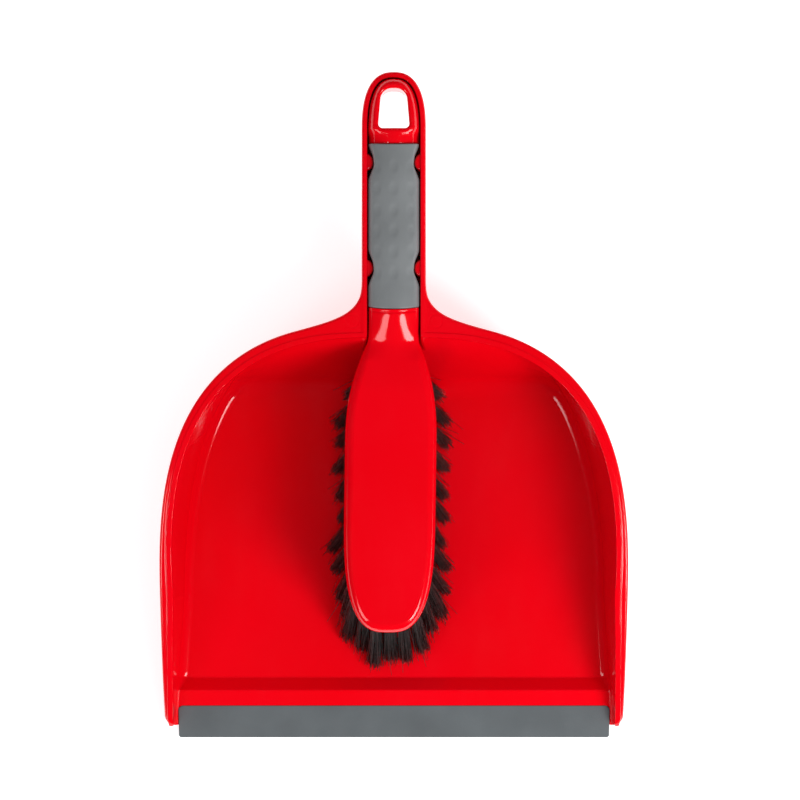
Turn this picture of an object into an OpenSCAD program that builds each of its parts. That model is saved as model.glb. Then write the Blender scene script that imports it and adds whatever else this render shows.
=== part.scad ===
// Dustpan with a snap-in hand brush, for room and hotel housekeeping.
// The brush is shown snapped into the channel on top of the pan's handle.
//
// Frame: origin at the bottom centre of the whole set, +Y to the handle,
// the soft lip at -Y, +Z up, the flat underside of the pan on z = 0.

/* [Pan] */
// Overall width over the rim
pan_w = 237;          // [180:1:300]
// Overall length, from the soft lip to the end of the handle
pan_l = 339;          // [280:1:400]
// Height of the rim at the handle
rim_h = 58;           // [45:1:75]
// Height of the side walls at the front corners
rim_h_front = 8;      // [6.5:0.5:14]
// Thickness of floor and walls
wall = 2.2;           // [1.8:0.1:3]
// Thickness of the rim flange
flange_t = 2.6;       // [2:0.1:4]
// Roundness of the rim outline at the back (2 is an ellipse)
rim_n = 2.78;         // [2:0.02:4]
// Radius at the foot of the back slope
scoop_r = 16;         // [8:1:30]
// Height of the dirt crest behind the lip
crest_h = 7.6;        // [4:0.2:12]

/* [Soft lip] */
// Width of the lip
lip_w = 224;          // [150:1:230]
// Depth of the lip, front to back
lip_d = 17.1;         // [10:0.1:30]
// Thickness of the lip at its back edge
lip_t = 2.2;          // [1.5:0.1:4]

/* [Handle channel] */
// Outer width of the channel
chan_w = 31.8;        // [24:0.2:40]
// Thickness of the channel's side walls
chan_wall = 2.4;      // [1.8:0.1:4]
// Height of the channel's floor
chan_z = 42;          // [30:1:50]
// Radius of the webs between channel and rim
web_r = 19;           // [8:1:30]
// Radius of the four snap bumps
bump_r = 4.5;         // [4:0.1:9]
// How far each snap bump stands out of the wall
bump_out = 3;         // [1:0.1:4]

/* [Brush] */
// Width of the bristle block
block_w = 45.8;       // [36:0.2:56]
// Height of the block's underside
block_z = 46;         // [38:1:52]
// Height of the block's top
block_top = 61.6;     // [55:0.2:68]
// Width of the hang loop
loop_w = 25.6;        // [20:0.2:28]
// Width of the neck between block and grip
neck_w = 24;          // [20:0.2:28]
// Width of the soft grip
grip_w = 24.9;        // [20:0.1:26]
// Length of the soft grip
grip_l = 81.7;        // [60:0.1:100]
// Height of the grip's top
grip_top = 64;        // [58:0.5:70]

/* [Bristles] */
// Distance from one cross row of tufts to the next
row_pitch = 11.6;     // [9:0.1:16]
// Number of straight cross rows
rows = 9;             // [5:1:10]
// Diameter of a tuft hole
hole_d = 4.1;         // [3:0.1:5.5]
// Depth of a tuft hole
hole_depth = 9;       // [6:0.5:10]
// Sideways splay of the outermost tufts, degrees
splay = 15;           // [0:1:20]
// Forward lean of the first cross row of tufts, degrees
lean = 14;            // [0:1:20]
// Forward lean of the last cross row, degrees
lean_end = 25;        // [10:1:30]
// Forward lean of the foremost tuft at the toe of the block, degrees
toe_lean = 35;        // [25:1:38]

/* [Hidden] */

red = [0.86, 0.02, 0.07];
grey = [0.42, 0.44, 0.45];
brown = [0.12, 0.08, 0.08];
steel = [0.7, 0.7, 0.72];

hw = pan_w / 2;
y_lip = -pan_l / 2;
y_tip = pan_l / 2;
rim_yc = -95.2;                    // where the sides start to curve in
rim_b = 45 - rim_yc;               // depth of the rounded back of the rim
y_nose = y_lip + 6.6;              // front end of the hard moulding
y_back = 37.5;                     // inner rim edge at the back
y_foot = 2;                        // foot of the back slope
floor_z = 2;
y_crest = -144;
lip_back = y_lip + lip_d;
slope = (crest_h - 1) / (y_crest - y_lip);
chan_in = chan_w / 2 - chan_wall;
bump_y = [71.9, 124.8];
bump_x = chan_in + bump_r - bump_out;
grip_y0 = 52.4;
grip_y1 = grip_y0 + grip_l;
toe_y = -109.6;                    // front end of the block
loop_yc = 141;                     // where the hang loop starts to round
notch_r = 11.8;                    // wide hollows in the grip beside the bumps
notch_x = chan_in - bump_out - 0.35 + notch_r;
tip_r = 4.2;                       // radius of a tuft at its free end

function spow(v, e) = sign(v) * pow(abs(v), e);

// ---- outlines ------------------------------------------------------------

// Rounded back of the rim, from the right side over the back to the left.
function back_arc(a, b, n = 48) =
  [for (i = [0 : n]) let (t = 180 * i / n)
    [a * spow(cos(t), 2 / rim_n), rim_yc + b * pow(max(sin(t), 0), 2 / rim_n)]];

// Half width of the floor, measured at a height of 2 mm.
function floor_half(y) =
  y < rim_yc ? 108.1 + 4.2 * (rim_yc - y) / 69.8
  : 108.1 * pow(max(1 - pow((y - rim_yc) / 135, 2.05), 0), 0.27);

// Outer outline of the rim, with rounded front corners.
function rim_outline() = concat(
  [for (i = [0 : 6]) let (t = -90 + 15 * i)
    [hw - 6 + 6 * cos(t), y_nose + 6 + 6 * sin(t)]],
  back_arc(hw, rim_b),
  [for (i = [0 : 6]) let (t = 180 + 15 * i)
    [-hw + 6 + 6 * cos(t), y_nose + 6 + 6 * sin(t)]]);

// End of the handle: straight sides, then a rounded tip.
function handle_outline(a, b, y0, n = 24) = concat(
  [[-a, y0], [a, y0]],
  [for (i = [0 : n]) let (t = 180 * i / n)
    [a * spow(cos(t), 0.8), loop_yc + b * pow(max(sin(t), 0), 0.8)]]);

// Hang hole, a trapezoid with rounded corners.
function hang_hole(g) = concat(
  [for (i = [0 : 6]) let (t = -90 + 15 * i)
    [5.2 + (2.5 + g) * cos(t), 144 + (2.5 + g) * sin(t)]],
  [for (i = [0 : 8]) let (t = 5 + 85 * i / 8)
    [1 + (5 + g) * cos(t), 156.4 + (5 + g) * sin(t)]],
  [for (i = [0 : 8]) let (t = 90 + 85 * i / 8)
    [-1 + (5 + g) * cos(t), 156.4 + (5 + g) * sin(t)]],
  [for (i = [0 : 6]) let (t = 180 + 15 * i)
    [-5.2 + (2.5 + g) * cos(t), 144 + (2.5 + g) * sin(t)]]);

// ---- side profiles, [y, z] -------------------------------------------------

function bez(p, t) =
  pow(1 - t, 3) * p[0] + 3 * pow(1 - t, 2) * t * p[1]
  + 3 * (1 - t) * t * t * p[2] + pow(t, 3) * p[3];

// Top of the rim, from the handle down to the front corners.
rim_curve = [for (i = [0 : 20])
  bez([[10, rim_h], [-45, rim_h - 1], [-128, rim_h * 0.6],
       [y_nose, rim_h_front]], i / 20)];

// Back slope: an arc tangent to the floor, then a straight run to the rim.
scoop_d = [y_back - y_foot, rim_h - floor_z - scoop_r];
scoop_a = atan2(scoop_d[1], scoop_d[0]) + asin(scoop_r / norm(scoop_d));
function scoop(o) = concat(
  [for (i = [0 : 8]) let (t = scoop_a * i / 8)
    [y_foot + (scoop_r + o) * sin(t), floor_z + scoop_r - (scoop_r + o) * cos(t)]],
  [[y_back + o * sin(scoop_a) + 10 * cos(scoop_a),
    rim_h - o * cos(scoop_a) + 10 * sin(scoop_a)]]);

module along_x(pts, w = 300)
  rotate([90, 0, 90]) linear_extrude(w, center = true) polygon(pts);

// Space above the floor, the crest and the ramp.
module above_floor() along_x(concat(
  [[y_lip - 30, 80], [y_lip - 30, 1], [y_lip, 1],
   [y_crest - 1, crest_h - slope], [y_crest + 0.6, crest_h - 0.3],
   [y_crest + crest_h - floor_z - 0.2, floor_z]],
  scoop(0), [[y_back + 3.9, 80]]));

// Space above the underside; the ramp is hollow underneath.
module above_underside() along_x(concat(
  [[y_lip - 30, 80], [y_lip - 30, 0], [y_crest - 14, 0], [y_crest - 11, 1.6],
   [y_crest, crest_h - 3.2], [y_crest + 3.4, 0.9], [y_crest + 4.2, 0]],
  scoop(wall - 0.2), [[y_back + 30, 80]]));

// Space below the rim surface, d lower.
module below_rim(d = 0) along_x(concat(
  [[y_tip + 10, -1], [y_tip + 10, rim_h - d]],
  [for (p = rim_curve) [p[0], p[1] - d]],
  [[y_nose - 20, rim_h_front - d], [y_nose - 20, -1]]), 320);

// ---- pan -----------------------------------------------------------------

// Drafted tub between a floor ring and a rim ring, o larger all round.
module tub(o) {
  top = concat([[120 + o, y_nose - 30]], back_arc(114 + o, y_back - rim_yc + o),
    [[-120 - o, y_nose - 30]]);
  k = (135 + o) / (y_back - rim_yc + o);
  low = [for (p = top) let (y = p[1] < rim_yc ? p[1]
      : rim_yc + (p[1] - rim_yc) * k,
      f = p[1] < rim_yc ? 1 : 1)
    [sign(p[0]) * (floor_half(min(y, rim_yc + 134.9)) * f
      + o * min(1, floor_half(min(y, rim_yc + 134.9)) / 40)), y]];
  n = len(top);
  z0 = -2;
  z1 = 62;
  // ring at z0 continues the slope that the walls have between 2 and 62
  ring0 = [for (i = [0 : n - 1]) let (d = (top[i] - low[i]) / 60)
    [low[i][0] - 4 * d[0], low[i][1] - 4 * d[1], z0]];
  ring1 = [for (p = top) [p[0], p[1], z1]];
  polyhedron(
    points = concat(ring0, ring1),
    faces = concat(
      [[for (i = [0 : n - 1]) i]],
      [[for (i = [n - 1 : -1 : 0]) n + i]],
      [for (i = [0 : n - 1]) let (j = (i + 1) % n) [i, n + i, n + j]],
      [for (i = [0 : n - 1]) let (j = (i + 1) % n) [i, n + j, j]]));
}

// Rim, webs and handle seen from above.
module top_plan() {
  polygon(rim_outline());
  polygon(handle_outline(chan_w / 2, y_tip - loop_yc, 20));
  for (s = [-1, 1]) difference() {
    polygon([[s * (chan_w / 2 - 1), 36], [s * (chan_w / 2 + web_r), 36],
      [s * (chan_w / 2 + web_r), 43.4 + web_r], [s * (chan_w / 2 - 1), 43.4 + web_r]]);
    translate([s * (chan_w / 2 + web_r), 43.4 + web_r]) circle(r = web_r, $fn = 64);
  }
}

// Under-lip rebate, seen from above.
module lip_plan() polygon(concat(
  [for (i = [0 : 5]) let (t = 18 * i)
    [lip_w / 2 - 2.6 + 2.6 * cos(t), lip_back - 2.6 + 2.6 * sin(t)]],
  [for (i = [0 : 5]) let (t = 90 + 18 * i)
    [-lip_w / 2 + 2.6 + 2.6 * cos(t), lip_back - 2.6 + 2.6 * sin(t)]],
  [[-lip_w / 2, y_lip], [lip_w / 2, y_lip]]));

module channel_space() translate([0, 0, chan_z]) linear_extrude(40)
  difference() {
    polygon(concat([[-16.5, 20], [16.5, 20], [16.5, 30], [chan_in, 41]],
      [for (p = handle_outline(chan_in, y_tip - loop_yc - chan_wall, 50))
        if (p[1] > 60) p],
      [[-chan_in, 41], [-16.5, 30]]));
    for (s = [-1, 1], y = bump_y)
      translate([s * bump_x, y]) circle(r = bump_r, $fn = 48);
  }

module pan_body() color(red) difference() {
  union() {
    difference() {
      union() {
        intersection() {
          tub(wall);
          above_underside();
          below_rim();
        }
        intersection() {
          difference() {
            below_rim();
            below_rim(flange_t);
          }
          translate([0, 0, 4]) linear_extrude(60) polygon(rim_outline());
        }
        intersection() {
          translate([0, 0, rim_h - flange_t]) linear_extrude(flange_t) top_plan();
          translate([-60, 20, 0]) cube([120, 200, 100]);
        }
        translate([0, 0, chan_z - wall]) linear_extrude(rim_h - chan_z + wall)
          polygon(handle_outline(chan_w / 2, y_tip - loop_yc, 30));
      }
      intersection() {
        tub(0);
        above_floor();
      }
    }
  }
  channel_space();
  // rebate for the soft lip
  intersection() {
    translate([0, 0, -1]) linear_extrude(20) lip_plan();
    along_x([[lip_back, 20], [lip_back, crest_h - slope * (y_crest - lip_back) - lip_t],
      [y_nose, 1], [y_nose - 5, 1], [y_nose - 5, 20]]);
  }
  translate([-150, y_nose - 40, -5]) cube([300, 40, 100]);
  translate([0, 0, 30]) linear_extrude(20) polygon(hang_hole(0.6));
}

module soft_lip() color(grey) intersection() {
  translate([0, 0, -1]) linear_extrude(20) lip_plan();
  along_x([[lip_back, crest_h - slope * (y_crest - lip_back)],
    [lip_back, crest_h - slope * (y_crest - lip_back) - lip_t],
    [y_nose, 1], [y_nose, 0], [y_lip, 0], [y_lip, 1]]);
}

// ---- brush -----------------------------------------------------------------

// Half width of the red body at y.
function body_half(y) =
  y > 35.5 ? neck_w / 2
  : y > -14.5 ? neck_w / 2 + (block_w - neck_w) / 2 * (1 - pow(1 - (35.5 - y) / 50, 2.3))
  : y > -50 ? block_w / 2
  : block_w / 2 * pow(max(1 - pow((-50 - y) / (-50 - toe_y), 2.8), 0), 1 / 2.8);

// Height of the red body's top at y; it rises towards the grip.
function body_top(y) =
  let (d = max(y - toe_y, 0), t = min(max((y - 26) / 24, 0), 1))
  block_top + (grip_top + 0.4 - block_top) * t * t * (3 - 2 * t)
  - (d < 5 ? 5 - sqrt(25 - (5 - d) * (5 - d)) : 0);

// Long solid with rounded upper edges, from stations [y, half width, top].
module crowned(st, z0, r) {
  k = 16;
  m = len(st);
  pts = [for (s = st) let (e = min(len(s) > 3 ? s[3] : r, s[1] * 0.6, (s[2] - z0) * 0.8))
    each concat([[s[1], s[0], z0]],
      [for (i = [0 : 6]) [s[1] - e + e * cos(15 * i), s[0], s[2] - e + e * sin(15 * i)]],
      [for (i = [0 : 6]) [-s[1] + e - e * sin(15 * i), s[0], s[2] - e + e * cos(15 * i)]],
      [[-s[1], s[0], z0]])];
  polyhedron(points = pts, faces = concat(
    [[for (i = [k - 1 : -1 : 0]) i]],
    [[for (i = [0 : k - 1]) (m - 1) * k + i]],
    [for (j = [0 : m - 2], i = [0 : k - 1]) let (n = (i + 1) % k)
      [j * k + i, (j + 1) * k + n, (j + 1) * k + i]],
    [for (j = [0 : m - 2], i = [0 : k - 1]) let (n = (i + 1) % k)
      [j * k + i, j * k + n, (j + 1) * k + n]]));
}

body_y = concat(
  [for (i = [0 : 12]) toe_y + 0.15 + 12 * pow(i / 12, 2)],
  [for (i = [1 : 8]) toe_y + 12.15 + 47.45 * i / 8],
  [-32, -14.5, -6, 1, 8, 15, 22, 26, 29, 32, 35.5, 38, 41, 44.5, 48, grip_y0]);

function loop_half(y) = y < loop_yc ? loop_w / 2
  : loop_w / 2 * pow(max(1 - pow((y - loop_yc) / 25.4, 2.5), 0), 0.4);

loop_y = concat([grip_y1, 138], [for (i = [0 : 10]) loop_yc + 25.3 * sin(9 * i)]);

// Centre core under the grip, [x, z].
core_pts = concat(
  [for (i = [0 : 4]) let (t = 22.5 * i) [6 + 3 * cos(t), 56 + 3 * sin(t)]],
  [for (i = [0 : 4]) let (t = 90 + 22.5 * i) [-6 + 3 * cos(t), 56 + 3 * sin(t)]],
  [for (i = [0 : 4]) let (t = 180 + 22.5 * i) [-6 + 3 * cos(t), 49 + 3 * sin(t)]],
  [for (i = [0 : 4]) let (t = 270 + 22.5 * i) [6 + 3 * cos(t), 49 + 3 * sin(t)]]);

grip_pts = concat(
  [[grip_w / 2, 52]],
  [for (i = [0 : 10]) let (t = 9 * i)
    [grip_w / 2 - 9 + 9 * pow(cos(t), 0.9), 56 + (grip_top - 56) * pow(sin(t), 0.9)]],
  [for (i = [0 : 10]) let (t = 90 - 9 * i)
    [-grip_w / 2 + 9 - 9 * pow(cos(t), 0.9), 56 + (grip_top - 56) * pow(sin(t), 0.9)]],
  [[-grip_w / 2, 52], [-grip_w / 2, 45], [-grip_w / 2 + 0.9, 42.9], [-grip_w / 2 + 3, 42],
   [grip_w / 2 - 3, 42], [grip_w / 2 - 0.9, 42.9], [grip_w / 2, 45]]);

module along_y(pts, y0, y1)
  translate([0, y1, 0]) rotate([90, 0, 0]) linear_extrude(y1 - y0) polygon(pts);

// Underside of the block, a little inside the crowned upper part.
slab_y = [for (y = body_y) if (y < -50 || y > -15) min(y, 45)];
block_plan = concat([for (y = slab_y) [body_half(y) - 0.2, y + 0.2]],
  [for (i = [len(slab_y) - 1 : -1 : 0]) [-body_half(slab_y[i]) + 0.2, slab_y[i] + 0.2]]);

// Where the tufts stand: [x, y, splay, lean, height of the tuft's lowest point].
function outer_x(y) = min(17, body_half(y) - 5.5);
function row_spots(r) = let (
    y = 18 - row_pitch * (r - 1), yb = y - row_pitch / 2,
    lo = r == 1 ? 7.4 : 2.8, xo = outer_x(y), xi = min(8.5, outer_x(yb) * 0.6),
    l = lean + (lean_end - lean) * pow((r - 1) / (rows - 1), 1.2))
  [[-xo, y, -splay, l, lo], [0, y, 0, l, lo], [xo, y, splay, l, lo],
   [-xi, yb, -splay / 2, l, 2.8], [xi, yb, splay / 2, l, 2.8]];
toe_spots = [for (i = [-4 : 4]) let (t = 20 * i)
  [18 * sin(t), -80 - 18 * cos(t), 9.5 * sin(t),
   toe_lean - (toe_lean - lean_end) * pow(abs(i) / 4, 1.6), 2.8]];
toe_in_spots = [[0, -87, 0, 27, 2.8]];
all_spots = concat([for (r = [1 : rows]) each row_spots(r)], toe_spots, toe_in_spots);

module at_spot(p) translate([p[0], p[1], block_z]) rotate([-p[3], -p[2], 0]) children();

module tuft(p) {
  tilt = acos(cos(p[2]) * cos(p[3]));
  len = (block_z - p[4] - tip_r * sin(tilt)) / cos(tilt);
  at_spot(p) difference() {
    union() {
      translate([0, 0, -0.5]) cylinder(r = hole_d / 2 - 0.1, h = hole_depth + 0.5, $fn = 48);
      translate([0, 0, -len]) cylinder(r1 = tip_r, r2 = hole_d / 2 - 0.1,
        h = len - 0.5, $fn = 48);
    }
    translate([-3, -0.3, hole_depth - 3]) cube([6, 0.6, 2]);
  }
}

module anchor(p) at_spot(p)
  translate([-1.9, -0.3, hole_depth - 3]) cube([3.8, 0.6, 2]);

module brush_body() color(red) difference() {
  union() {
    difference() {
      translate([0, 0, block_z]) linear_extrude(10) polygon(block_plan);
      for (p = all_spots) at_spot(p)
        translate([0, 0, -4]) cylinder(d = hole_d, h = hole_depth + 4, $fn = 48);
    }
    crowned([for (y = body_y) [y, body_half(y), body_top(y), y < 15 ? 5 : 7]],
      block_z + 9, 5);
    translate([-neck_w / 2, 36, chan_z]) cube([neck_w, grip_y0 - 36, block_z - chan_z]);
    along_y(core_pts, grip_y0 - 1, grip_y1 + 1);
    crowned([for (y = loop_y) [y, loop_half(y), grip_top + 0.4 - 2.4 * (y - grip_y1) / 32]],
      chan_z, 4.5);
  }
  translate([0, 0, 30]) linear_extrude(40) polygon(hang_hole(0));
}

module grip_sleeve() color(grey) difference() {
  along_y(grip_pts, grip_y0, grip_y1);
  along_y(core_pts, grip_y0 - 1, grip_y1 + 1);
  for (s = [-1, 1], y = bump_y)
    translate([s * notch_x, y, 30]) cylinder(r = notch_r, h = 50, $fn = 96);
}

module tufts(spots) color(brown) for (p = spots) tuft(p);
module anchors(spots) color(steel) for (p = spots) anchor(p);

// ---- output ----------------------------------------------------------------

pan_body();
soft_lip();
brush_body();
grip_sleeve();
tufts(row_spots(1));  // tufts_row_1
tufts(row_spots(2));  // tufts_row_2
tufts(row_spots(3));  // tufts_row_3
tufts(row_spots(4));  // tufts_row_4
tufts(row_spots(5));  // tufts_row_5
tufts(row_spots(6));  // tufts_row_6
tufts(row_spots(7));  // tufts_row_7
tufts(row_spots(8));  // tufts_row_8
tufts(row_spots(9));  // tufts_row_9
tufts(toe_spots);  // tufts_toe_outer
tufts(toe_in_spots);  // tufts_toe_inner
anchors(row_spots(1));  // anchors_row_1
anchors(row_spots(2));  // anchors_row_2
anchors(row_spots(3));  // anchors_row_3
anchors(row_spots(4));  // anchors_row_4
anchors(row_spots(5));  // anchors_row_5
anchors(row_spots(6));  // anchors_row_6
anchors(row_spots(7));  // anchors_row_7
anchors(row_spots(8));  // anchors_row_8
anchors(row_spots(9));  // anchors_row_9
anchors(toe_spots);  // anchors_toe_outer
anchors(toe_in_spots);  // anchors_toe_inner
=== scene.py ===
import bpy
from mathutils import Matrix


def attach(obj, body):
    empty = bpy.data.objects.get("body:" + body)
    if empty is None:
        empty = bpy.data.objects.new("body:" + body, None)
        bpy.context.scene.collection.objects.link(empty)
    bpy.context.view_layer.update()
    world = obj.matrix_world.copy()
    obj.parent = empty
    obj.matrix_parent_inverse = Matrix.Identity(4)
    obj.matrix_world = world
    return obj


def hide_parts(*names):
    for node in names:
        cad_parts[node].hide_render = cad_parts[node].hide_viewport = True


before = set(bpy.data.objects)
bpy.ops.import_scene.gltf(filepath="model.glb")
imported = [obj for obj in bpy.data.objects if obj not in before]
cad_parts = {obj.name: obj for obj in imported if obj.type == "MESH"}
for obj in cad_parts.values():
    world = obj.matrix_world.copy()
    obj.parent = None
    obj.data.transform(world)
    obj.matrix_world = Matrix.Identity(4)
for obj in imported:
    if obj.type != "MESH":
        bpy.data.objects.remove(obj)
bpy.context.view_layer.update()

import math

import bmesh
import bpy
import numpy as np
from mathutils import Vector

scene = bpy.context.scene
scene.view_settings.view_transform = "Standard"

# ---------------------------------------------------------------- camera
# straight above the set, 1.4 m up, the soft lip towards the bottom
CAM_LENS, CAM_AT = 121.0, (0.0031, 0.00605, 1.400)
cam_data = bpy.data.cameras.new("camera")
cam_data.sensor_width = 36
cam_data.lens = CAM_LENS
cam = bpy.data.objects.new("camera", cam_data)
cam.location = CAM_AT
scene.collection.objects.link(cam)
scene.camera = cam


# ---------------------------------------------------------------- signed distance helpers, mm
def smin(a, b, r):
    """Union with a round fillet of radius r."""
    return np.maximum(r, np.minimum(a, b)) - np.hypot(np.maximum(r - a, 0), np.maximum(r - b, 0))


def smax(a, b, r):
    """Intersection with an edge rounded to radius r."""
    return np.minimum(-r, np.maximum(a, b)) + np.hypot(np.maximum(r + a, 0), np.maximum(r + b, 0))


def superdist(x, y, a, b, p, q):
    """Distance to the outline (x/a)^p + (y/b)^q = 1, for x and y not negative."""
    x = np.maximum(x, 1e-3)
    y = np.maximum(y, 1e-3)
    u = (x / a) ** p
    v = (y / b) ** q
    g = np.hypot(p * u / x, q * v / y)
    return (u + v - 1) / np.maximum(g, 1e-4)


def profile(points, y0, y1, smooth):
    """A height profile z(y) as a table, with its corners rounded; gives (z, cosine of the slope)."""
    t = np.arange(y0, y1, 0.1)
    z = np.interp(t, [p[0] for p in points], [p[1] for p in points])
    if smooth:
        k = np.arange(-30, 31) * 0.1
        w = np.exp(-0.5 * (k / smooth) ** 2)
        z = np.convolve(np.pad(z, 30, mode="edge"), w / w.sum(), mode="valid")
    c = 1 / np.hypot(1, np.gradient(z, t))
    t, z, c = t.astype(np.float32), z.astype(np.float32), c.astype(np.float32)
    return lambda y: (np.interp(y, t, z).astype(np.float32), np.interp(y, t, c).astype(np.float32))


SPLIT_COS = 0.96


def mesh_of(f, axes, name, tris=0, flat=0, bend=None, lift=None):
    """Meshes f = 0 by surface nets over a grid that is symmetric in x, and thins it: by merging
    flat parts into patches of the given size, or down to a number of triangles. Every vertex is
    then put on f, with its normal. With lift, the grid's z is counted from lift(y)."""
    axes = [np.asarray(a, np.float32) for a in axes]
    xs, ys, zs = axes
    up = lift(ys)[None, :, None] if lift else 0
    step = max(1, int(1.5e6 // (len(ys) * len(zs))))
    val = np.concatenate([
        f(xs[i:i + step, None, None], ys[None, :, None], zs[None, None, :] + up)
        for i in range(0, len(xs), step)], axis=0)
    val = np.concatenate([val[::-1], val], axis=0)
    grid = (np.concatenate([-xs[::-1], xs]), ys, zs)
    ins = val < 0
    shape = val.shape
    cshape = tuple(s - 1 for s in shape)
    ncell = cshape[0] * cshape[1] * cshape[2]
    stride = (cshape[1] * cshape[2], cshape[2], 1)
    count = np.zeros(ncell, np.int32)
    acc = [np.zeros(ncell, np.float64) for _ in range(3)]
    quads = []
    for ax in range(3):
        a = [slice(None)] * 3
        b = [slice(None)] * 3
        a[ax] = slice(0, -1)
        b[ax] = slice(1, None)
        idx = np.nonzero(ins[tuple(a)] != ins[tuple(b)])
        far = list(idx)
        far[ax] = idx[ax] + 1
        va, vb = val[idx], val[tuple(far)]
        t = va / (va - vb)
        pos = [grid[k][idx[k]].astype(np.float64) for k in range(3)]
        pos[ax] = pos[ax] + t * (grid[ax][idx[ax] + 1] - grid[ax][idx[ax]])
        o1, o2 = (ax + 1) % 3, (ax + 2) % 3
        flip = va >= 0
        base = sum(idx[k] * stride[k] for k in range(3))
        cells = [base - stride[o1] - stride[o2], base - stride[o2], base, base - stride[o1]]
        for c in cells:
            count += np.bincount(c, minlength=ncell).astype(np.int32)
            for k in range(3):
                acc[k] += np.bincount(c, weights=pos[k], minlength=ncell)
        q = np.stack(cells, axis=1)
        q[flip] = q[flip][:, ::-1]
        quads.append(q)
    used = np.nonzero(count)[0]
    index = np.full(ncell, -1, np.int32)
    index[used] = np.arange(len(used))
    verts = np.stack([acc[k][used] / count[used] for k in range(3)], axis=1)
    quads = index[np.concatenate(quads)]
    if lift:
        verts[:, 2] += lift(verts[:, 1])
    del acc, count, index, val, ins

    def gradient(p):
        e = 0.04
        g = np.empty_like(p)
        for k in range(3):
            d = np.zeros(3)
            d[k] = e
            g[:, k] = (f(*(p + d).T) - f(*(p - d).T)) / (2 * e)
        return g

    def project(p, most):
        g = gradient(p)
        s = f(*p.T) / np.maximum((g * g).sum(1), 0.2)
        return p - g * np.clip(s, -most, most)[:, None]

    verts = project(project(verts, 0.8), 0.8)
    # the mesh stays in mm, undone from build's metres, until the last vertex is in place
    me = build(name, verts * 1000, quads)
    ob = bpy.data.objects.new(name, me)
    scene.collection.objects.link(ob)
    if flat:
        bm = bmesh.new()
        bm.from_mesh(me)
        block = [(int(c.x // flat), int(c.y // flat)) for c in (p.calc_center_median() for p in bm.faces)]
        for e in bm.edges:
            k = [block[p.index] for p in e.link_faces]
            e.seam = len(k) != 2 or k[0] != k[1]
        bmesh.ops.dissolve_limit(bm, angle_limit=math.radians(0.2), verts=bm.verts, edges=bm.edges,
                                 delimit={"SEAM"})
        bmesh.ops.triangulate(bm, faces=[p for p in bm.faces if len(p.verts) > 4])
        for e in bm.edges:
            e.seam = False
        bm.to_mesh(me)
        bm.free()
    elif tris and 2 * len(quads) > tris:
        mod = ob.modifiers.new("thin", "DECIMATE")
        mod.ratio = tris / (2 * len(quads))
        thin = bpy.data.meshes.new_from_object(ob.evaluated_get(bpy.context.evaluated_depsgraph_get()))
        ob.modifiers.clear()
        ob.data = thin
        me = thin
        me.name = name
    p = np.empty(len(me.vertices) * 3)
    me.vertices.foreach_get("co", p)
    verts = project(p.reshape(-1, 3), 0.3)
    g = gradient(verts)
    nrm = g / np.maximum(np.linalg.norm(g, axis=1), 1e-9)[:, None]
    # where a face turns well away from its corner's normal, that corner gets a normal of its own
    me.vertices.foreach_set("co", verts.ravel())
    me.update()
    vi = np.empty(len(me.loops), np.int32)
    me.loops.foreach_get("vertex_index", vi)
    size = np.empty(len(me.polygons), np.int32)
    me.polygons.foreach_get("loop_total", size)
    mid, turn = np.empty(3 * len(size)), np.empty(3 * len(size))
    me.polygons.foreach_get("center", mid)
    me.polygons.foreach_get("normal", turn)
    pi = np.repeat(np.arange(len(size)), size)
    mid, turn = mid.reshape(-1, 3)[pi], turn.reshape(-1, 3)[pi]
    loops = nrm[vi]
    far = np.nonzero((loops * turn).sum(1) < SPLIT_COS)[0]
    g = gradient(verts[vi[far]] * 0.5 + mid[far] * 0.5)
    g /= np.maximum(np.linalg.norm(g, axis=1), 1e-9)[:, None]
    keep = (g * turn[far]).sum(1) > (loops[far] * turn[far]).sum(1)
    loops[far[keep]] = g[keep]
    if bend:
        loops = bend(verts[vi], loops)[1]
        verts = bend(verts, None)[0]
    me.vertices.foreach_set("co", (verts / 1000).ravel())
    me.polygons.foreach_set("use_smooth", np.ones(len(me.polygons), bool))
    me.update()
    me.normals_split_custom_set(loops.tolist())
    return ob


def graded(points):
    """Grid lines from (position, spacing) stations, the spacing changing evenly between them."""
    k = 1.0
    out = [points[0][0]]
    while out[-1] < points[-1][0]:
        out.append(out[-1] + k * float(np.interp(out[-1], [p[0] for p in points], [p[1] for p in points])))
    return out


def build(name, verts, faces):
    """A mesh from mm coordinates and an array of triangles or quads."""
    me = bpy.data.meshes.new(name)
    k = faces.shape[1]
    me.vertices.add(len(verts))
    me.vertices.foreach_set("co", (np.asarray(verts) / 1000).ravel())
    me.loops.add(faces.size)
    me.loops.foreach_set("vertex_index", faces.ravel().astype(np.int32))
    me.polygons.add(len(faces))
    me.polygons.foreach_set("loop_start", np.arange(0, faces.size, k, dtype=np.int32))
    me.polygons.foreach_set("loop_total", np.full(len(faces), k, np.int32))
    me.polygons.foreach_set("use_smooth", np.ones(len(faces), bool))
    me.update()
    me.validate()
    return me


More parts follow.
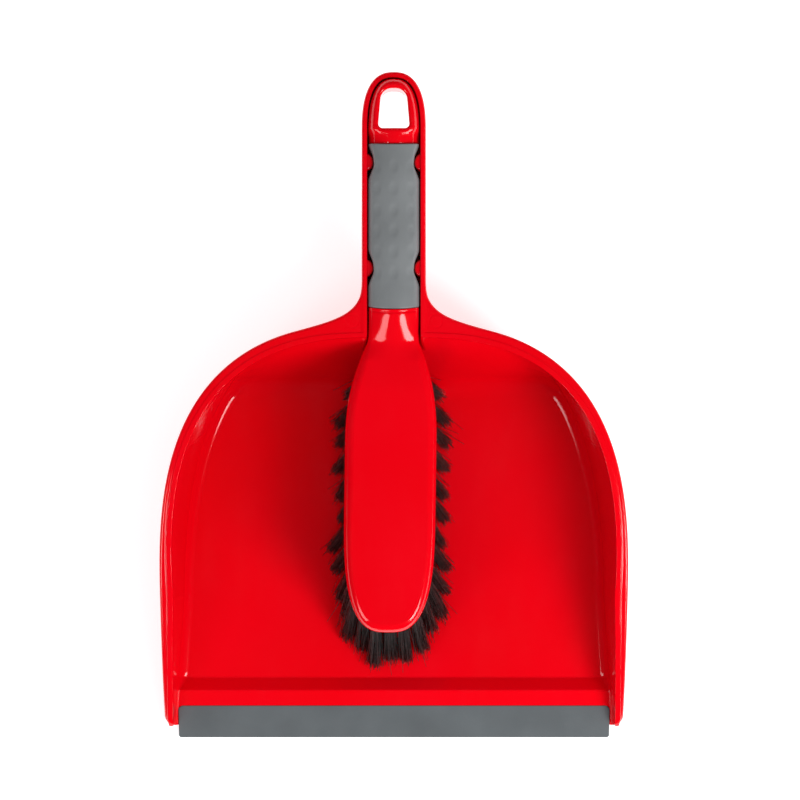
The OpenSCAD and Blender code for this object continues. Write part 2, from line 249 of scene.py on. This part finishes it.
# ---------------------------------------------------------------- pan
HW, Y_LIP = 118.5, -169.5
RIM_H, RIM_F, WALL, YC = 58.0, 8.0, 2.2, -95.2
Y_NOSE, Y_BACK, Y_CREST, CREST = Y_LIP + 6.6, 37.5, -144.0, 7.6
LIP_BACK = Y_LIP + 17.1
SLOPE = (CREST - 1) / (Y_CREST - Y_LIP)
LIP_Z = CREST + SLOPE * (LIP_BACK - Y_CREST)
CHAN, CHAN_WALL, CHAN_Z, WEB_R = 15.6, 2.6, 42.0, 19.0
LOOP_Y, HAND_END, LOOP_END = 141.0, 28.5, 25.4
HOLE_Y0, HOLE_Y1, HOLE_HALF = 141.5, 161.4, 7.9
SNAP_X, SNAP_R, SNAP_Y = 14.7, 4.5, (71.9, 124.8)
FLOOR_HALF, FLOOR_END, RIM_END = 108.1, 135.0, 140.2
LIP_HALF, FLANGE = 111.9, 2.8


def bezier(p, n):
    t = np.linspace(0, 1, n)[:, None]
    p = np.array(p, float)
    return (1 - t) ** 3 * p[0] + 3 * (1 - t) ** 2 * t * p[1] + 3 * (1 - t) * t * t * p[2] + t ** 3 * p[3]


rim_pts = bezier([(10, RIM_H), (-45, RIM_H - 1), (-128, RIM_H * 0.6), (Y_NOSE, RIM_F)], 60)[::-1].tolist()
rim_z = profile([(-200, RIM_F - 20)] + rim_pts + [(200, RIM_H)], -200, 200, 0)

R_SC, Y_FOOT = 13.0, 6.0
d_sc = (Y_BACK - Y_FOOT, RIM_H - 2 - R_SC)
A_SC = math.atan2(d_sc[1], d_sc[0]) + math.asin(R_SC / math.hypot(*d_sc))


def scoop(o):
    """The back slope, foot arc and straight run, moved outwards by o."""
    turn = [A_SC * i / 16 for i in range(17)]
    arc = [(Y_FOOT + (R_SC + o) * math.sin(t), 2 + R_SC - (R_SC + o) * math.cos(t)) for t in turn]
    q = (Y_BACK + o * math.sin(A_SC), RIM_H - o * math.cos(A_SC))
    return arc + [(q[0] + 15 * math.cos(A_SC), q[1] + 15 * math.sin(A_SC)),
                  (q[0] + 40, q[1] + 16 * math.sin(A_SC))]


floor_z = profile([(-200, 1 - 30 * SLOPE), (Y_LIP, 1), (Y_CREST - 0.3, CREST),
                   (Y_CREST + CREST - 2 + 0.3, 2)] + scoop(0), -200, 80, 0.35)
under_z = profile([(-200, 0), (Y_CREST - 14, 0), (Y_CREST - 11, 1.6), (Y_CREST, CREST - 3),
                   (Y_CREST + 3.6, 0.9), (Y_CREST + 4.4, 0)] + scoop(WALL - 0.2), -200, 80, 0.5)


def handle_outline(x, y, a, b):
    """Straight sides a from the middle, closed beyond LOOP_Y by a round end of length b."""
    return superdist(x, np.maximum(y - LOOP_Y, 0), a, b, 2.5, 2.5)


def hang_hole(x, y, g):
    """A rounded trapezoid, wider at its straight end."""
    side = (x - HOLE_HALF + (y - HOLE_Y0) * 0.085) * 0.995
    d = smax(side, HOLE_Y0 - y, 2.6)
    return smax(d, y - HOLE_Y1, 5.2) - g


def fold_radius(y, z):
    """Radius between floor and walls: wider at the back, fading towards the rim and over the crest."""
    grow = np.clip((y + 60) / 70, 0, 1)
    fade = np.clip((z - 22) / 26, 0, 1)
    front = np.clip((-136 - y) / 8, 0, 1)
    return ((4.2 + 1.8 * grow) * (1 - fade) + 0.6) * (1 - 0.7 * front)


def pan(x, y, z):
    x = np.abs(x)
    back = np.maximum(y - YC, 0)
    front = np.maximum(YC - y, 0) / 69.8
    k = (np.clip(z, -2, 62) - 2) / 60
    half = FLOOR_HALF + 5.9 * k + (4.2 + 1.8 * k) * front + 1.6 * front ** 4
    inner = superdist(x, back, half, FLOOR_END - 2.3 * k, 3.95 - 1.17 * k, 2.15 + 0.63 * k)
    rim = smax(superdist(x, back, HW, RIM_END, 2.78, 2.78), Y_NOSE - y, 6.0)
    zr, nr = rim_z(y)
    zf, nf = floor_z(y)
    zu, nu = under_z(y)
    top = (z - zr) * nr
    above = (z - zf) * nf
    hand = handle_outline(x, y, CHAN, HAND_END)
    plan = smin(rim, hand, WEB_R)
    # tub, flange with its webs, handle
    fold = fold_radius(y, z)
    body = np.maximum(smax(inner - WALL, (zu - z) * nu, fold + 1.2), top)
    flange = smax(smax(plan, top, 1.5), -(top + FLANGE), 0.6)
    body = smin(body, flange, 1.2)
    chan = smax(smax(smax(hand, z - RIM_H, 1.1), CHAN_Z - 2.2 - z, 2.2), 28 - y, 0.5)
    body = smin(body, chan, 1.6)
    # inside of the tub and of the channel
    cavity = smax(inner, -above, fold)
    draft = np.maximum(36.5 - y, 0) * 0.35 - 0.012 * (RIM_H - z)
    chan_in = smax(smax(hand + CHAN_WALL - draft, CHAN_Z - z, 1.4), 20 - y, 0.5)
    body = smax(body, -smin(cavity, chan_in, 1.8), 0.06)
    for by in SNAP_Y:
        bump = np.hypot(x - SNAP_X, y - by) - SNAP_R
        bump = smax(smax(bump, z - 57.4, 1.2), x - SNAP_X, 0.3)
        bump = np.maximum(bump, 41.5 - z)
        body = smin(body, bump, 0.7)
    body = smax(body, -hang_hole(x, y, 0.6), 0.6)
    # rebate for the soft lip
    under_lip = LIP_Z - 2.2 + (1.0 - LIP_Z + 2.2) * (LIP_BACK - y) / (LIP_BACK - Y_NOSE)
    rebate = smax(smax(x - (LIP_HALF + 0.1), y - LIP_BACK, 2.6), under_lip - z, 0.2)
    body = smax(body, -rebate, 0.25)
    # faint ejector marks on the webs
    ring = np.hypot(x - 21.0, y - 45.5) - 3.3
    body = body + 0.11 * np.exp(-(ring / 0.4) ** 2) * (z > 56.5)
    return smax(body, Y_NOSE - y, 0.4)


# ---------------------------------------------------------------- soft lip
def lip(x, y, z):
    x = np.abs(x)
    top_z = LIP_Z + 0.12 + (1.0 - LIP_Z - 0.12) * (LIP_BACK - y) / (LIP_BACK - Y_LIP)
    low_z = LIP_Z - 2.2 + (1.0 - LIP_Z + 2.2) * (LIP_BACK - y) / (LIP_BACK - Y_NOSE)
    low_z = np.where(y < Y_NOSE, 0.02, low_z)
    plan = smax(x - LIP_HALF, y - LIP_BACK + 0.05, 2.6)
    plan = smax(plan, Y_LIP - y, 1.3)
    d = smax(plan, (z - top_z) * 0.968, 0.35)
    return smax(d, (low_z - z) * 0.98, 0.15)


# ---------------------------------------------------------------- brush
NECK, LOOP, BLOCK, TOE, GRIP0, GRIP1 = 12.5, 12.75, 22.9, -109.6, 52.4, 134.1
BLOCK_Z, BLOCK_TOP, GRIP_TOP = 46.0, 61.6, 64.0
NECK_Y, TOE_Y, GRIP_HALF = 35.5, -50, 12.82
DIMPLE_X, DIMPLE_Y = (0.0, 8.6), (122.3, 111.4, 100.6, 90.3, 80.0, 69.2)


def body_half(y):
    grow = NECK + (BLOCK - NECK) * (1 - np.clip(1 - (NECK_Y - y) / 50, 0, 1) ** 2.3)
    return np.where(y > NECK_Y, NECK, grow)


half_t = np.arange(-111, 60, 0.25)
kern = np.exp(-0.5 * (np.arange(-16, 17) * 0.25 / 1.6) ** 2)
half_w = np.convolve(np.pad(body_half(half_t), 16, mode="edge"), kern / kern.sum(), mode="valid")
half_c = 1 / np.hypot(1, np.gradient(half_w, half_t))


def ease(y, y0, y1):
    t = np.clip((y - y0) / (y1 - y0), 0, 1)
    return t * t * (3 - 2 * t)


def grip_bow(x):
    """How far the grip's ends bulge along y, at x."""
    return 1.2 * (1 - (x / 12.6) ** 2)


def brush(x, y, z):
    x = np.abs(x)
    w = np.interp(y, half_t, half_w)
    c = np.interp(y, half_t, half_c)
    toe = superdist(x, np.maximum(TOE_Y - y, 0), BLOCK, -49.5 - TOE, 2.9, 2.9)
    plan = np.where(y > TOE_Y, (x - w) * c, toe)
    bow = grip_bow(x)
    # flat block, then a neck that climbs to the grip under a domed top
    climb = 1.2 * (np.logaddexp(0, (y - 34.5) / 1.2) - np.logaddexp(0, (y - 50.3) / 1.2))
    dome = 0.0018 + 0.040 * ease(y, 25, 36) + 0.038 * ease(y, 36, 50)
    crown = BLOCK_TOP - 1.9 * ease(y, 10, 34) + 0.315 * climb - (np.sqrt(1 + (dome * x) ** 2) - 1) / dome
    groove = (y - GRIP0 + bow + 1.6) / 0.4
    block = smax(plan, z - crown + 0.3 * np.exp(-groove * groove), 5.0 - 2.8 * ease(y, 22, 35))
    block = smax(block, BLOCK_Z - z, 1.0)
    neck = smax(smax(smax(x - NECK, z - GRIP_TOP + 9, 2.0), CHAN_Z - z, 1.0), 36 - y, 1.0)
    block = smin(block, neck, 1.0)
    block = smax(block, y - GRIP0 + bow, 0.5)
    core = smax(smax(x - 9, z - 59, 3), BLOCK_Z - z, 3)
    core = smax(smax(core, y - GRIP1 - 1, 0.2), GRIP0 - 3 - y, 0.2)
    # hang loop, rounded all round and falling a little towards the grip
    top = GRIP_TOP + 0.4 - 2.4 * (y - GRIP1) / 32 - (0.042 - 0.022 * ease(y, 137, 142)) * x * x
    top = top - 0.19 * np.logaddexp(0, (140 - y) / 0.7)
    end = smax(smax(handle_outline(x, y, LOOP, LOOP_END), z - top, 4.5), CHAN_Z - z, 1.2)
    end = smax(end, GRIP1 - 0.5 * bow - y, 0.6)
    body = np.minimum(np.minimum(block, core), end)
    return smax(body, -hang_hole(x, y, 0), 2.2)


def grip(x, y, z):
    x = np.abs(x)
    side = x - GRIP_HALF + 0.0018 * (z - 54) ** 2
    d = smax(smax(side, z - (GRIP_TOP - 0.028 * x * x), 3.4), CHAN_Z - z, 2.0)
    bow = grip_bow(x)
    d = smax(d, np.maximum(GRIP0 + 0.12 - bow - y, y - GRIP1 + 0.12 + 0.5 * bow), 0.7)
    # wide hollows beside the snap bumps
    for by in SNAP_Y:
        d = smax(d, -(np.hypot(x - 21.9, y - by) - 11.8), 1.6)
    # three columns of shallow thumb dimples
    for cy in DIMPLE_Y:
        for cx in DIMPLE_X:
            d = d + 0.42 * np.exp(-(((x - cx) / 1.9) ** 2 + ((y - cy) / 2.9) ** 2) ** 1.5) * (z > 55)
    return d


def lie(verts, nrm):
    """The brush sits very slightly askew in its channel: shifts x along the block."""
    t = np.arange(-130, 70, 0.5)
    sway = np.interp(t, [-110, -84, -49, -11, 6, 25, 46], [-2.9, -2.45, -2.0, -1.45, -1.15, -0.5, 0])
    k = np.exp(-0.5 * (np.arange(-24, 25) / 9.0) ** 2)
    sway = np.convolve(np.pad(sway, 24, mode="edge"), k / k.sum(), mode="valid")
    y = verts[:, 1]
    verts = verts + np.interp(y, t, sway)[:, None] * np.array([1, 0, 0])
    if nrm is not None:
        nrm = nrm - (nrm[:, 0] * np.interp(y, t, np.gradient(sway, t)))[:, None] * np.array([0, 1, 0])
        nrm /= np.linalg.norm(nrm, axis=1)[:, None]
    return verts, nrm


made = {
    "pan_shell": mesh_of(
        pan,
        (graded([(0.35, 1.0), (10, 1.0), (12, 0.6), (25, 0.6), (30, 0.9), (36, 1.8), (54, 1.8), (62, 0.9),
                 (96, 0.8), (104, 0.6), (120, 0.6)]),
         graded([(-165, 0.7), (-137, 0.8), (-130, 1.1), (-66, 1.1), (-50, 0.9), (28, 0.7), (36, 0.55),
                 (50, 0.6), (56, 0.9), (171, 0.7)]),
         graded([(-59, 1.15), (-16, 1.15), (-11, 0.5), (1.6, 0.5)])),
        "pan_shell", flat=22, lift=lambda y: rim_z(y)[0]),
    "front_lip": mesh_of(
        lip, (graded([(0.5, 1.6), (104, 1.6), (108, 0.4), (113, 0.4)]),
              graded([(-170.4, 0.4), (-152, 0.4)]), graded([(-0.7, 0.4), (6.5, 0.4)])),
        "front_lip"),
    "brush_block": mesh_of(
        brush, (graded([(0.3, 0.6), (24, 0.6)]), graded([(-111, 0.6), (168, 0.6)]),
                graded([(40.6, 0.6), (66, 0.6)])),
        "brush_block", tris=120000, bend=lie),
    "soft_grip": mesh_of(
        grip, (graded([(0.22, 0.45), (13.5, 0.45)]), graded([(51, 0.45), (135.4, 0.45)]),
               graded([(40.8, 0.45), (65.2, 0.45)])),
        "soft_grip", tris=70000),
}


# ---------------------------------------------------------------- bristles
def row_spots(r):
    """Five tufts as (x, y, sideways lean, lean towards the toe, height of the tips)."""
    y = 18 - 11.6 * (r - 1)
    yb = y - 5.8
    lo = 7.4 if r == 1 else 2.8
    le = 14 + 11 * ((r - 1) / 8) ** 1.2
    xo = min(17, float(body_half(y)) - 5.5)
    xi = min(8.5, min(17, float(body_half(yb)) - 5.5) * 0.6)
    return [(-xo, y, -15, le, lo), (0, y, 0, le, lo), (xo, y, 15, le, lo),
            (-xi, yb, -7.5, le, 2.8), (xi, yb, 7.5, le, 2.8)]


spots = {f"tufts_row_{r}": row_spots(r) for r in range(1, 10)}
spots["tufts_toe_outer"] = [
    (18 * math.sin(math.radians(20 * i)), -80 - 18 * math.cos(math.radians(20 * i)),
     9.5 * math.sin(math.radians(20 * i)), 35 - 10 * (abs(i) / 4) ** 1.6, 2.8) for i in range(-4, 5)]
spots["tufts_toe_inner"] = [(0, -87, 0, 27, 2.8)]


SINK, GOLDEN, THIRD = 3.0, 2.39996, 2.0944


def tuft_mesh(places, seed):
    """Curved three-sided filaments, open at both ends, that start SINK mm inside the block and fan
    out from each hole."""
    rng = np.random.default_rng(seed)
    seg = 7
    t = np.linspace(0, 1, seg + 1)[:, None]
    verts, faces = [], []
    for x, y, sp, le, low in places:
        toe = y < -82
        le += (2 if toe else 0) + rng.uniform(-2, 2)
        sp += rng.uniform(-2.5, 2.5)
        flare = (3.8 if toe else 2.9) * rng.uniform(0.85, 1.15)
        rx, ry = math.radians(-le), math.radians(-sp)
        up = np.array([math.cos(rx) * math.sin(ry), -math.sin(rx), math.cos(rx) * math.cos(ry)])
        side = np.cross(up, [0, 1, 0])
        side /= np.linalg.norm(side)
        fwd = np.cross(up, side)
        root = lie(np.array([[x, y, BLOCK_Z]]), None)[0][0]
        shift = root[0] - x
        reach = (BLOCK_Z - low) / up[2]
        n_fil = 150 if toe else 120
        swirl = rng.normal(0, 0.5, 2)
        for i in range(n_fil):
            rr = math.sqrt((i + 0.5) / n_fil)
            aa = i * GOLDEN + rng.uniform(-0.4, 0.4)
            r0 = 1.8 * rr
            r1 = flare * rr ** 0.85 * rng.uniform(0.7, 1.2)
            wild = rng.random()
            if wild < 0.16:
                r1 *= rng.uniform(1.2, 1.8)
            if wild < 0.035:
                r1 += rng.uniform(1.5, 6)
            out = side * math.cos(aa) + fwd * math.sin(aa)
            curl = rng.normal(0, 0.8, 2) + swirl
            back = rng.normal(0, 0.45, 2)
            far = reach * rng.uniform(0.98, 1.015) + (rng.uniform(-5, 0) if rng.random() < 0.25 else 0)
            line = (root + up * SINK - up * (far + SINK) * t + out * (r0 + (r1 - r0) * t ** 1.2)
                    + (side * curl[0] + fwd * curl[1]) * t ** 2
                    + (side * back[0] + fwd * back[1]) * np.sin(math.pi * t)
                    - np.array([0.55 * shift, 0, 0]) * t)
            line[:, 2] = np.maximum(line[:, 2], low - 0.5)
            w = rng.uniform(0.16, 0.21) * (1 - 0.3 * t)
            ph = rng.uniform(0, 2 * math.pi)
            base = len(verts) * 3
            ring = [line + side * (w * math.cos(ph + THIRD * k)) + fwd * (w * math.sin(ph + THIRD * k))
                    for k in range(3)]
            verts.extend(np.stack(ring, axis=1))
            for j in range(seg):
                for k in range(3):
                    a, b = base + j * 3 + k, base + j * 3 + (k + 1) % 3
                    faces.append((a, b, b + 3, a + 3))
    return np.concatenate(verts), faces


def add_mesh(name, verts, faces):
    me = build(name, verts, np.array(faces))
    ob = bpy.data.objects.new(name, me)
    scene.collection.objects.link(ob)
    return ob


for i, (cad_node, places) in enumerate(spots.items()):
    piece = cad_node.replace("tufts", "bristles")
    made[piece] = add_mesh(piece, *tuft_mesh(places, 100 + i))


# ---------------------------------------------------------------- materials
def new_mat(name, color, rough, **sockets):
    m = bpy.data.materials.new(name)
    m.use_nodes = True
    b = m.node_tree.nodes["Principled BSDF"]
    b.inputs["Base Color"].default_value = (*color, 1)
    b.inputs["Roughness"].default_value = rough
    for k, v in sockets.items():
        b.inputs[k.replace("_", " ")].default_value = v
    return m, m.node_tree, b


def node(nt, kind, **props):
    n = nt.nodes.new(kind)
    for k, v in props.items():
        if k in n.inputs:
            n.inputs[k].default_value = v
        else:
            setattr(n, k, v)
    return n


def ramp(nt, src, lo, hi, to_lo, to_hi):
    n = node(nt, "ShaderNodeMapRange")
    n.inputs["From Min"].default_value = lo
    n.inputs["From Max"].default_value = hi
    n.inputs["To Min"].default_value = to_lo
    n.inputs["To Max"].default_value = to_hi
    nt.links.new(src, n.inputs["Value"])
    return n.outputs["Result"]


def noise(nt, scale, detail=3, rough=0.5, stretch=None):
    co = node(nt, "ShaderNodeTexCoord")
    src = co.outputs["Object"]
    if stretch:
        mp = node(nt, "ShaderNodeMapping")
        mp.inputs["Scale"].default_value = stretch
        nt.links.new(src, mp.inputs["Vector"])
        src = mp.outputs["Vector"]
    n = node(nt, "ShaderNodeTexNoise")
    n.inputs["Scale"].default_value = scale
    n.inputs["Detail"].default_value = detail
    n.inputs["Roughness"].default_value = rough
    nt.links.new(src, n.inputs["Vector"])
    return n.outputs["Fac"]


def mix_color(nt, fac, a, b):
    n = node(nt, "ShaderNodeMix", data_type="RGBA")
    n.inputs["A"].default_value = (*a, 1)
    n.inputs["B"].default_value = (*b, 1)
    nt.links.new(fac, n.inputs["Factor"])
    return n.outputs["Result"]


def math_node(nt, op, a, b):
    n = node(nt, "ShaderNodeMath", operation=op)
    for i, v in enumerate((a, b)):
        if isinstance(v, (int, float)):
            n.inputs[i].default_value = v
        else:
            nt.links.new(v, n.inputs[i])
    return n.outputs[0]


def bump(nt, bsdf, height, strength, distance):
    n = node(nt, "ShaderNodeBump")
    n.inputs["Strength"].default_value = strength
    n.inputs["Distance"].default_value = distance
    nt.links.new(height, n.inputs["Height"])
    nt.links.new(n.outputs["Normal"], bsdf.inputs["Normal"])


def red_plastic(name):
    # the red is the plastic's own dye; the small blue part of these colours is a painted reflection of bluish
    # overhead light, laid evenly on every face
    m, nt, b = new_mat(name, (0.80, 0.0003, 0.006), 0.14)
    col = mix_color(nt, ramp(nt, noise(nt, 14, 4), 0.35, 0.65, 0, 1),
                    (0.785, 0.0002, 0.005), (0.81, 0.0004, 0.007))
    nt.links.new(col, b.inputs["Base Color"])
    scuff = ramp(nt, noise(nt, 60, 6, 0.65, (1, 0.25, 1)), 0.5, 0.8, 0.0, 0.06)
    rough = math_node(nt, "ADD", ramp(nt, noise(nt, 22, 3), 0.3, 0.7, 0.07, 0.11), scuff)
    nt.links.new(rough, b.inputs["Roughness"])
    h = math_node(nt, "ADD", noise(nt, 40, 2),
                  math_node(nt, "MULTIPLY", noise(nt, 700, 2), 0.02))
    bump(nt, b, h, 0.07, 0.0004)
    return m


def grey_rubber(name, color, rough):
    m, nt, b = new_mat(name, color, rough)
    lo = tuple(c * 0.86 for c in color)
    hi = tuple(c * 1.1 for c in color)
    col = mix_color(nt, ramp(nt, noise(nt, 30, 5), 0.3, 0.7, 0, 1), lo, hi)
    nt.links.new(col, b.inputs["Base Color"])
    nt.links.new(ramp(nt, noise(nt, 90, 4), 0.3, 0.7, rough - 0.08, rough + 0.1), b.inputs["Roughness"])
    bump(nt, b, noise(nt, 1400, 2), 0.25, 0.0002)
    return m


red = red_plastic("red_plastic")
lip_mat = grey_rubber("lip_rubber", (0.098, 0.112, 0.119), 0.5)
grip_mat = grey_rubber("grip_rubber", (0.195, 0.207, 0.211), 0.42)

bris, nt, b = new_mat("bristle_fibre", (0.03, 0.018, 0.018), 0.38)
col = mix_color(nt, ramp(nt, noise(nt, 900, 2), 0.35, 0.65, 0, 1),
                (0.004, 0.005, 0.005), (0.018, 0.022, 0.021))
nt.links.new(col, b.inputs["Base Color"])
nt.links.new(ramp(nt, noise(nt, 300, 2), 0.3, 0.7, 0.3, 0.5), b.inputs["Roughness"])

steel, nt, b = new_mat("anchor_steel", (0.6, 0.6, 0.61), 0.35, Metallic=1.0)
nt.links.new(ramp(nt, noise(nt, 900, 3), 0.3, 0.7, 0.25, 0.45), b.inputs["Roughness"])
bump(nt, b, noise(nt, 2500, 2, 0.5, (1, 0.1, 1)), 0.2, 0.0001)


def put(ob, mat, body, slot, *nodes):
    ob.data.materials.clear()
    ob.data.materials.append(mat)
    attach(ob, body)
    if nodes:
        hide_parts(*nodes)


put(made["pan_shell"], red, "dustpan", "red_plastic", "pan_body")
put(made["front_lip"], lip_mat, "dustpan", "grey_tpr", "soft_lip")
put(made["brush_block"], red, "brush", "red_plastic", "brush_body")
put(made["soft_grip"], grip_mat, "brush", "grey_tpr", "grip_sleeve")
for n in spots:
    put(made[n.replace("tufts", "bristles")], bris, "brush", "bristle", n)
for n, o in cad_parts.items():
    if n.startswith("anchors"):
        for s in o.material_slots:
            s.material = steel

# ---------------------------------------------------------------- floor and light
fm, nt, b = new_mat("floor_paper", (0.9, 0.9, 0.9), 0.75, Emission_Color=(1, 1, 1, 1), Emission_Strength=0.56)
nt.links.new(mix_color(nt, noise(nt, 3, 3), (0.89, 0.89, 0.89), (0.91, 0.91, 0.91)), b.inputs["Base Color"])
b.inputs["Specular IOR Level"].default_value = 0.1
FLOOR_REACH, FLOOR_Z = 4000, -0.6
corners = [(sx * FLOOR_REACH, sy * FLOOR_REACH, FLOOR_Z) for sx, sy in ((-1, -1), (1, -1), (1, 1), (-1, 1))]
me = build("floor", np.array(corners), np.array([[0, 1, 2, 3]]))
floor = bpy.data.objects.new("floor", me)
scene.collection.objects.link(floor)
me.materials.append(fm)


LIGHT_DIST, AIM = 1.35, (0, 0, 0.02)


def area(name, azimuth, polar, size, power):
    """A rectangular light in the given direction, in degrees, that faces the set."""
    a, p = math.radians(azimuth), math.radians(polar)
    loc = (LIGHT_DIST * math.sin(p) * math.cos(a), LIGHT_DIST * math.sin(p) * math.sin(a),
           LIGHT_DIST * math.cos(p))
    li = bpy.data.lights.new(name, "AREA")
    li.shape = "RECTANGLE"
    li.size, li.size_y = size
    li.energy = power
    o = bpy.data.objects.new(name, li)
    o.location = loc
    o.rotation_mode = "QUATERNION"
    o.rotation_quaternion = (Vector(AIM) - Vector(loc)).to_track_quat("-Z", "Y")
    scene.collection.objects.link(o)
    return o


# side_left shows only in gloss, the two soft lights only in matt reflection, the key in both
area("key_right", -40.5, 48.5, (0.42, 0.6), 8.0)
area("side_left", -139, 46, (0.38, 0.8), 4.6).visible_diffuse = False
area("soft_right", -42, 46, (0.5, 0.85), 5.6).visible_glossy = False
area("soft_left", -146, 47, (0.3, 0.6), 2.0).visible_glossy = False

# even studio light from all around, seen by matt reflection only
world = bpy.data.worlds.new("world")
scene.world = world
world.use_nodes = True
world.node_tree.nodes["Background"].inputs["Color"].default_value = (0.55, 0.55, 0.56, 1)
world.node_tree.nodes["Background"].inputs["Strength"].default_value = 1.0
world.cycles_visibility.glossy = False
